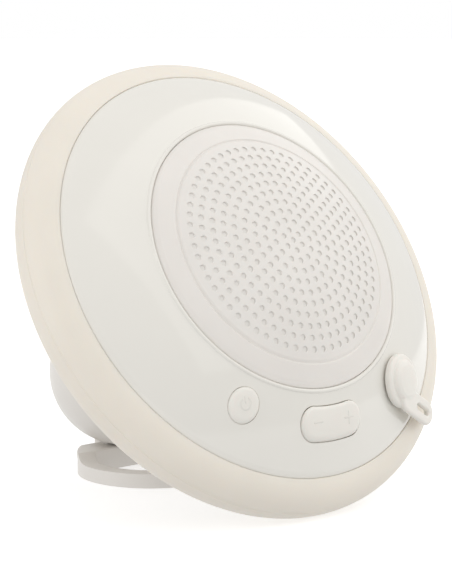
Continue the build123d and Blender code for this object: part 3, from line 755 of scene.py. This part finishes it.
def make_rear_shell():
    """The bowl and neck, with posts and wells for the case screws."""
    bowl_edge, bowl_floor = (66.4, -16.2), (33.0, BULKHEAD_Z)
    bowl_end = (34.5, -50.5)
    spigot_inner_r = SPIGOT_R - 2
    bulkhead_back = BULKHEAD_Z - BULKHEAD_THICK
    rim_z = RIM_SPLIT_Z - 0.3
    outline = [(BEZEL_R, rim_z), (BEZEL_R, RIM_BACK_Z), (69.8, RIM_BACK_Z), (69.35, RIM_BACK_Z - 0.2)]
    outline += arc_points((69.2, RIM_BACK_Z - 0.5), (50.5, -37.5), bowl_end, 48)
    outline += arc_points(bowl_end, (29.8, -55.5), (NECK_R, -62), 16)[1:]
    outline += [
        (NECK_R, NECK_END_Z + 0.5), (NECK_R - 0.15, NECK_END_Z + 0.12), (NECK_R - 0.5, NECK_END_Z),
        (SPIGOT_R, NECK_END_Z), (SPIGOT_R, SPIGOT_END_Z), (spigot_inner_r, SPIGOT_END_Z),
        (spigot_inner_r, bulkhead_back), (0, bulkhead_back), (0, BULKHEAD_Z), bowl_floor,
    ]
    outline += arc_points(bowl_edge, (48.6, -35.2), bowl_floor, 32)[-2:0:-1]
    outline += [bowl_edge, (RIM_INNER_R, bowl_edge[1]), (RIM_INNER_R, rim_z)]
    shell = make_object("shell_body", lathe(outline))
    at_case_screws(shell, "posts", radius=3.6, low=-24.0, high=-7.3, operation="UNION")
    at_case_screws(shell, "wells", radius=3.0, low=-40.0, high=-14.0)
    at_case_screws(shell, "pilots", radius=1.7, low=-16.0, high=-5.0)
    return shell


def side_prism(outline, half_width):
    """A prism drawn as a side view (back, up) in the ground's frame and carried across the speaker."""
    sideways = Matrix(((0, 0, 1, 0), (1, 0, 0, 0), (0, 1, 0, 0), (0, 0, 0, 1)))
    return make_object("side", prism(outline, -half_width, half_width), ground_matrix @ sideways)


def cross_rod(radius, half_length, steps=64):
    """A rod on the hinge's line."""
    outline = [(hinge_y + x, hinge_z + y) for x, y in around(steps, radius)]
    return side_prism(outline, half_length)


def cap_arc(radius, first, last, steps):
    """A stretch of the cap's round end, from its widest place at 0 to its tip at a quarter turn."""
    turns = [first + (last - first) * i / steps for i in range(steps + 1)]
    return [(radius * math.cos(a), CAP_CENTRE_Z - radius * math.sin(a)) for a in turns]


def make_grip_cutters():
    """Round-ended pins, side by side round the cap, that cut its grip notches."""
    turns = [math.pi / 2 * i / 5 for i in range(5)]
    rounds = [(GRIP_R * math.cos(a), GRIP_END * math.sin(a)) for a in turns]
    pin = [(0.0, GRIP_LOW)] + [(r, GRIP_LOW + GRIP_END - z) for r, z in reversed(rounds)]
    pin += [(r, GRIP_HIGH - GRIP_END + z) for r, z in rounds] + [(0.0, GRIP_HIGH)]
    cutters = bmesh.new()
    for x, y in around(GRIP_COUNT, CAP_R + 0.9, 180 / GRIP_COUNT):
        cutter = lathe(pin, 32, closed=False)
        cutter.transform(Matrix.Translation((x, y, 0)))
        join(cutters, cutter)
    return make_object("notches", cutters)


def make_lug():
    """The lug under the cap, round about the hinge, that the loop's pin goes through."""
    root_z = hinge_z + 7.0
    turns = [math.pi + math.pi * i / 24 for i in range(25)]
    outline = [(hinge_y - KNUCKLE_R, root_z)]
    outline += [(hinge_y + KNUCKLE_R * math.cos(a), hinge_z + KNUCKLE_R * math.sin(a)) for a in turns]
    outline += [(hinge_y + KNUCKLE_R, root_z + 1.4)]
    lug = side_prism(outline, LUG_HALF)
    soften_edges(lug, 0.5, lambda p: p.z < hinge.z + 6 * MM)
    return lug


def make_cap():
    """The twist-off battery cap with its grip notches and the lug for the loop."""
    inner_r = CAP_R - CAP_WALL
    skirt_r = SPIGOT_R + 0.35
    outline = [(CAP_R - 0.7, CAP_EDGE_Z), (CAP_R - 0.2, CAP_EDGE_Z - 0.2), (CAP_R, CAP_EDGE_Z - 0.7)]
    outline += cap_arc(CAP_R, 0, math.pi / 2, 32)
    outline += cap_arc(inner_r, math.pi / 2, math.acos(skirt_r / inner_r), 24)
    outline.append((skirt_r, CAP_EDGE_Z))
    cap = make_object("cap_body", lathe(outline))
    boolean(cap, make_grip_cutters())
    boolean(cap, make_lug(), "UNION")
    boolean(cap, cross_rod(PIN_R + 0.05, 40))
    return cap


def make_loop():
    """The foot: a flat ring that sweeps up to a straight web, with two hinge knuckles behind it."""
    loop_y = hinge_y - LOOP_AHEAD
    web_y = hinge_y - WEB_AHEAD
    far = 80.0
    high = 20.0
    ring = prism([(x, y + loop_y) for x, y in around(160, LOOP_R)], 0, high)
    loop = make_object("ring", ring, ground_matrix)
    behind = box_mesh((-40, 40), (hinge_y, hinge_y + 40), (-5, 30))
    boolean(loop, make_object("behind", behind, ground_matrix))
    air = [(hinge_y - far, LOOP_THICK)]
    air += arc_points((web_y - 8.0, LOOP_THICK), (web_y - 3.0, 6.2), (web_y + 0.6, WEB_TOP), 12)
    air += [(hinge_y + 5, WEB_TOP + 0.1), (hinge_y + 5, high + 10), (hinge_y - far, high + 10)]
    boolean(loop, side_prism(air, 40))
    chord = math.sqrt(LOOP_HOLE_R**2 - (web_y - loop_y) ** 2)
    start = math.atan2(web_y - loop_y, -chord)
    sweep = math.pi + 2 * (math.pi - start)
    rim = [start + sweep * i / 120 for i in range(121)]
    hole = [(LOOP_HOLE_R * math.cos(a), loop_y + LOOP_HOLE_R * math.sin(a)) for a in rim]
    boolean(loop, make_object("hole", prism(hole, -5, 30), ground_matrix))
    soften_edges(loop, 0.9, lambda p: p.z > 3 * MM and p.y < hinge.y - 0.5 * MM, 4)
    knuckle = cross_rod(KNUCKLE_R, KNUCKLE_SEEN)
    soften_edges(knuckle, 0.8, lambda p: abs(p.x) > (KNUCKLE_SEEN - 0.3) * MM)
    boolean(loop, knuckle, "UNION")
    slot_half = LUG_HALF + 0.3
    slot_front = hinge_y - KNUCKLE_R - 1.4
    slot = box_mesh((-slot_half, slot_half), (slot_front, hinge_y + 20), (-5, 20))
    boolean(loop, make_object("slot", slot, ground_matrix))
    boolean(loop, cross_rod(PIN_R + 0.02, KNUCKLE_SEEN - 0.5))
    return loop


def make_pin():
    """The hinge's pin, which ends inside the knuckles."""
    return cross_rod(PIN_R, KNUCKLE_SEEN - 0.6)


# ---------------------------------------------------------------- materials

def node_tree(name):
    """A new material with a Principled shader. Gives the material, its tree and the shader."""
    material = bpy.data.materials.new(name)
    material.use_nodes = True
    return material, material.node_tree, material.node_tree.nodes["Principled BSDF"]


# Sizes in mm of the broad drift of colour and of the patches in the sheen, and the wave texture's
# period at scale 1
DRIFT_SIZE = 22.0
SHEEN_SIZE = 6.0
WAVE_PERIOD = 0.314


def texture_place(tree, stretch=(1, 1, 1)):
    """Object coordinates in mm, stretched if a grain runs one way."""
    place = tree.nodes.new("ShaderNodeTexCoord")
    mapping = tree.nodes.new("ShaderNodeMapping")
    mapping.inputs["Scale"].default_value = [1000 * s for s in stretch]
    tree.links.new(place.outputs["Object"], mapping.inputs["Vector"])
    return mapping.outputs["Vector"]


def noise(tree, place, size, detail=3.0, roughness=0.5):
    """Noise whose blotches are about that many mm across."""
    node = tree.nodes.new("ShaderNodeTexNoise")
    node.inputs["Scale"].default_value = 1 / size
    node.inputs["Detail"].default_value = detail
    node.inputs["Roughness"].default_value = roughness
    tree.links.new(place, node.inputs["Vector"])
    return node.outputs["Fac"]


def spread(tree, value, low, high):
    """Maps a noise to a range."""
    node = tree.nodes.new("ShaderNodeMapRange")
    node.inputs["From Min"].default_value = 0.3
    node.inputs["From Max"].default_value = 0.7
    node.inputs["To Min"].default_value = low
    node.inputs["To Max"].default_value = high
    tree.links.new(value, node.inputs["Value"])
    return node.outputs["Result"]


def mix_colours(tree, value, first, second):
    """A colour between two, by a value."""
    node = tree.nodes.new("ShaderNodeMix")
    node.data_type = "RGBA"
    node.inputs["A"].default_value = (*first, 1)
    node.inputs["B"].default_value = (*second, 1)
    tree.links.new(value, node.inputs["Factor"])
    return node.outputs["Result"]


def raise_surface(tree, shader, value, height):
    """Bumps the surface by a value, height in mm."""
    node = tree.nodes.new("ShaderNodeBump")
    node.inputs["Distance"].default_value = height * MM
    tree.links.new(value, node.inputs["Height"])
    tree.links.new(node.outputs["Normal"], shader.inputs["Normal"])


def set_sockets(shader, sockets):
    """Sets a shader's inputs, given by their names with _ for each space."""
    for socket, value in sockets.items():
        shader.inputs[socket.replace("_", " ")].default_value = value


def grained(
    name, colour, roughness, grain_size, grain_height, drift=0.03, stretch=(1, 1, 1), **sockets
):
    """A surface with a fine grain, a faint drift of colour and a patchy sheen."""
    material, tree, shader = node_tree(name)
    place = texture_place(tree, stretch)
    large = noise(tree, place, DRIFT_SIZE, 4.0)
    pale = tuple(min(c * (1 + drift), 1) for c in colour)
    deep = tuple(c * (1 - drift) for c in colour)
    drifting = mix_colours(tree, spread(tree, large, 0, 1), deep, pale)
    tree.links.new(drifting, shader.inputs["Base Color"])
    patchy = noise(tree, place, SHEEN_SIZE, 5.0, 0.6)
    tree.links.new(spread(tree, patchy, roughness * 0.88, roughness * 1.12), shader.inputs["Roughness"])
    raise_surface(tree, shader, noise(tree, place, grain_size, 2.0), grain_height)
    set_sockets(shader, sockets)
    return material


def banded(name, first, second, width, axis, roughness, height, **sockets):
    """A surface of fine bands along an axis: wound wire, woven cloth, brushed metal."""
    material, tree, shader = node_tree(name)
    place = texture_place(tree)
    wave = tree.nodes.new("ShaderNodeTexWave")
    wave.bands_direction = axis
    wave.inputs["Scale"].default_value = WAVE_PERIOD / width
    wave.inputs["Distortion"].default_value = 0.4
    wave.inputs["Detail"].default_value = 2.0
    tree.links.new(place, wave.inputs["Vector"])
    tree.links.new(mix_colours(tree, wave.outputs["Fac"], first, second), shader.inputs["Base Color"])
    patchy = noise(tree, place, 3.0, 4.0)
    tree.links.new(spread(tree, patchy, roughness * 0.8, roughness * 1.2), shader.inputs["Roughness"])
    raise_surface(tree, shader, wave.outputs["Fac"], height)
    set_sockets(shader, sockets)
    return material


def circuit_board():
    """Green solder mask with copper runs under it."""
    material, tree, shader = node_tree("board_green")
    place = texture_place(tree)
    runs = tree.nodes.new("ShaderNodeTexBrick")
    runs.inputs["Scale"].default_value = 0.35
    runs.inputs["Mortar Size"].default_value = 0.05
    runs.inputs["Color1"].default_value = (0.012, 0.10, 0.035, 1)
    runs.inputs["Color2"].default_value = (0.015, 0.13, 0.045, 1)
    runs.inputs["Mortar"].default_value = (0.05, 0.24, 0.08, 1)
    tree.links.new(place, runs.inputs["Vector"])
    tree.links.new(runs.outputs["Color"], shader.inputs["Base Color"])
    tree.links.new(spread(tree, noise(tree, place, 2.0), 0.28, 0.42), shader.inputs["Roughness"])
    raise_surface(tree, shader, runs.outputs["Fac"], 0.03)
    return material


IVORY = (0.80, 0.778, 0.725)
CREAM = (0.83, 0.775, 0.69)

looks = {
    "ivory_gloss": grained(
        "ivory_gloss", IVORY, 0.09, 9.0, 0.004, drift=0.008, Coat_Weight=0.3, Coat_Roughness=0.03,
    ),
    "cover_frost": grained(
        "cover_frost", (0.80, 0.765, 0.725), 0.34, 0.35, 0.010, drift=0.02,
        Subsurface_Weight=0.15, Subsurface_Radius=(0.0012, 0.001, 0.0009), Subsurface_Scale=1.0,
    ),
    "silicone_ring": grained(
        "silicone_ring", CREAM, 0.48, 0.5, 0.010, drift=0.015,
        Subsurface_Weight=0.15, Subsurface_Radius=(0.004, 0.003, 0.002), Subsurface_Scale=1.0,
    ),
    "key_rubber": grained(
        "key_rubber", (0.84, 0.81, 0.755), 0.42, 0.4, 0.008, drift=0.012,
        Subsurface_Weight=0.12, Subsurface_Radius=(0.003, 0.002, 0.002), Subsurface_Scale=1.0,
    ),
    # The marks' colour, a little greyer than the key's rubber, is painted shade: the raised signs are the key's
    # own colour, and the grey stands in for the shading round them.
    "key_mark": grained("key_mark", (0.77, 0.745, 0.695), 0.5, 0.2, 0.004),
    "shell_matte": grained("shell_matte", (0.75, 0.72, 0.68), 0.40, 0.55, 0.020, drift=0.012),
    "seal_rubber": grained("seal_rubber", (0.035, 0.035, 0.036), 0.6, 0.4, 0.012),
    "membrane_film": banded(
        "membrane_film", (0.77, 0.745, 0.71), (0.82, 0.795, 0.76), 0.5, "X", 0.7, 0.02,
    ),
    "steel": banded("steel", (0.50, 0.50, 0.51), (0.62, 0.62, 0.62), 0.3, "Z", 0.3, 0.004, Metallic=1.0),
    "zinc_frame": grained("zinc_frame", (0.48, 0.49, 0.50), 0.42, 0.8, 0.012, drift=0.06, Metallic=0.9),
    "cone_paper": grained(
        "cone_paper", (0.045, 0.044, 0.042), 0.78, 0.45, 0.05, drift=0.2, stretch=(1, 1, 0.3),
    ),
    "spider_cloth": banded("spider_cloth", (0.35, 0.22, 0.09), (0.55, 0.37, 0.17), 0.4, "Y", 0.8, 0.05),
    "copper_coil": banded(
        "copper_coil", (0.45, 0.16, 0.06), (0.86, 0.42, 0.22), 0.22, "Z", 0.3, 0.04, Metallic=1.0,
    ),
    "ferrite": grained("ferrite", (0.045, 0.045, 0.05), 0.62, 0.7, 0.05, drift=0.25),
    "board_green": circuit_board(),
    "component_black": grained("component_black", (0.022, 0.022, 0.024), 0.45, 0.5, 0.015, drift=0.15),
    "holder_black": grained("holder_black", (0.03, 0.03, 0.032), 0.5, 0.6, 0.02, drift=0.1),
    "cell_wrap": banded("cell_wrap", (0.06, 0.07, 0.10), (0.11, 0.13, 0.18), 16.0, "Z", 0.28, 0.002),
    "nickel": banded("nickel", (0.62, 0.60, 0.56), (0.72, 0.70, 0.66), 0.4, "X", 0.24, 0.004, Metallic=1.0),
    "lead_red": grained("lead_red", (0.42, 0.025, 0.02), 0.42, 0.5, 0.01, drift=0.1),
    "lead_black": grained("lead_black", (0.02, 0.02, 0.022), 0.42, 0.5, 0.01, drift=0.1),
}


def dress(obj, look):
    """Gives an object one look."""
    obj.data.materials.clear()
    obj.data.materials.append(looks[look])


slots = {part["node"]: part["material_slot"] for part in frame["record"]["subparts"]}
for name, node in frame["nodes"].items():
    dress(node, slots[name])

pieces = [
    ("bezel_shell", "front_bezel", "housing", make_bezel()),
    ("cover_dome", "speaker_cover", "housing", make_cover()),
    ("bumper", "bumper_ring", "housing", make_bumper()),
    ("shell_body", "rear_shell", "housing", make_rear_shell()),
    ("cap_body", "battery_cap", "cap", make_cap()),
    ("foot_ring", "stand_loop", "foot_loop", make_loop()),
    ("membrane_dome", "waterproof_membrane", "housing", make_membrane()),
    ("hinge_pin", "stand_pin", "foot_loop", make_pin()),
    ("power_key_cap", "power_button", "power_key", make_power_key()),
    ("volume_key_cap", "volume_rocker", "volume_key", make_volume_key()),
    ("plug_body", "socket_plug", "plug", make_plug()),
]
for name, node, body, piece in pieces:
    piece.name = name
    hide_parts(node)
    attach(piece, body)
    dress(piece, slots[node])
# The key signs take the greyer key_mark colour, which is painted shade on marks of the key's own colour.
for body, piece in (("power_key", make_power_mark()), ("volume_key", make_volume_marks())):
    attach(piece, body)
    dress(piece, "key_mark")


# ---------------------------------------------------------------- floor, light and camera

def make_floor():
    """A pale plain floor, large enough to have no edge in view."""
    bm = rod(FLOOR_R, -FLOOR_THICK, 0, steps=96)
    floor = make_object("studio_floor", bm, ground_matrix)
    material, tree, shader = node_tree("floor_white")
    place = texture_place(tree)
    tree.links.new(spread(tree, noise(tree, place, 40.0), 0.55, 0.65), shader.inputs["Roughness"])
    shader.inputs["Base Color"].default_value = (0.8, 0.8, 0.8, 1)
    shader.inputs["Specular IOR Level"].default_value = 0.1
    shader.inputs["Emission Color"].default_value = (1, 1, 1, 1)
    shader.inputs["Emission Strength"].default_value = FLOOR_GLOW
    floor.visible_diffuse = False
    floor.data.materials.append(material)


def make_softbox():
    """A large overhead panel with a straight edge, which the glossy bezel mirrors."""
    corners = [(x * SOFTBOX_HEIGHT, y * SOFTBOX_HEIGHT, SOFTBOX_HEIGHT) for x, y in SOFTBOX_CORNERS]
    bm = bmesh.new()
    bm.faces.new([bm.verts.new(corner) for corner in corners])
    softbox = make_object("softbox", bm, Matrix.Identity(4))
    material, tree, shader = node_tree("softbox_glow")
    shader.inputs["Base Color"].default_value = (0, 0, 0, 1)
    shader.inputs["Emission Color"].default_value = (1.0, 0.995, 0.98, 1)
    shader.inputs["Emission Strength"].default_value = SOFTBOX_STRENGTH
    softbox.data.materials.append(material)


def make_side_light(name, place, watts, mirrored):
    """A broad, dim panel to one side, which lifts what the softbox leaves dark."""
    lamp = bpy.data.lights.new(name, "AREA")
    lamp.shape = "SQUARE"
    lamp.size = PANEL_SIZE
    lamp.energy = watts
    lamp.color = (1.0, 0.99, 0.97)
    panel = bpy.data.objects.new(name, lamp)
    panel.location = place
    aim = Vector(PANEL_TARGET) - panel.location
    panel.rotation_euler = aim.to_track_quat("-Z", "Y").to_euler()
    panel.visible_glossy = mirrored
    bpy.context.scene.collection.objects.link(panel)


def make_sky():
    """Even light from all round, seen as a white backdrop."""
    world = bpy.data.worlds.new("studio")
    bpy.context.scene.world = world
    world.use_nodes = True
    tree = world.node_tree
    light = tree.nodes["Background"]
    light.inputs["Color"].default_value = (1.0, 1.0, 1.0, 1)
    direction = tree.nodes.new("ShaderNodeTexCoord")
    split = tree.nodes.new("ShaderNodeSeparateXYZ")
    level = tree.nodes.new("ShaderNodeMapRange")
    level.inputs["From Min"].default_value = -0.3
    level.inputs["From Max"].default_value = 0.1
    level.inputs["To Min"].default_value = GROUND_STRENGTH
    level.inputs["To Max"].default_value = SKY_STRENGTH
    tree.links.new(direction.outputs["Generated"], split.inputs["Vector"])
    tree.links.new(split.outputs["Z"], level.inputs["Value"])
    tree.links.new(level.outputs["Result"], light.inputs["Strength"])
    backdrop = tree.nodes.new("ShaderNodeBackground")
    backdrop.inputs["Color"].default_value = (1.0, 1.0, 1.0, 1)
    backdrop.inputs["Strength"].default_value = BACKDROP_STRENGTH
    choice = tree.nodes.new("ShaderNodeMixShader")
    seen = tree.nodes.new("ShaderNodeLightPath")
    tree.links.new(seen.outputs["Is Camera Ray"], choice.inputs["Fac"])
    tree.links.new(light.outputs["Background"], choice.inputs[1])
    tree.links.new(backdrop.outputs["Background"], choice.inputs[2])
    tree.links.new(choice.outputs["Shader"], tree.nodes["World Output"].inputs["Surface"])


def make_camera():
    """The camera, a long lens to the left of the speaker and a little above it."""
    azimuth, elevation = math.radians(CAMERA_AZIMUTH), math.radians(CAMERA_ELEVATION)
    level = math.cos(elevation)
    ahead = Vector((-math.sin(azimuth) * level, math.cos(azimuth) * level, -math.sin(elevation)))
    right = Vector((math.cos(azimuth), math.sin(azimuth), 0))
    up = right.cross(ahead)
    camera_data = bpy.data.cameras.new("camera")
    camera_data.lens = CAMERA_LENS
    camera_data.sensor_fit = "AUTO"
    camera_data.sensor_width = CAMERA_SENSOR
    camera = bpy.data.objects.new("camera", camera_data)
    place = speaker_origin - ahead * CAMERA_BACK - right * CAMERA_LEFT - up * CAMERA_DOWN
    camera.matrix_world = frame_matrix(right, up, -ahead, place)
    bpy.context.scene.collection.objects.link(camera)
    bpy.context.scene.camera = camera


make_floor()
make_softbox()
make_side_light("left_light", LEFT_PANEL, LEFT_WATTS, True)
make_side_light("right_light", RIGHT_PANEL, RIGHT_WATTS, False)
make_sky()
make_camera()
bpy.context.scene.view_settings.view_transform = "Standard"
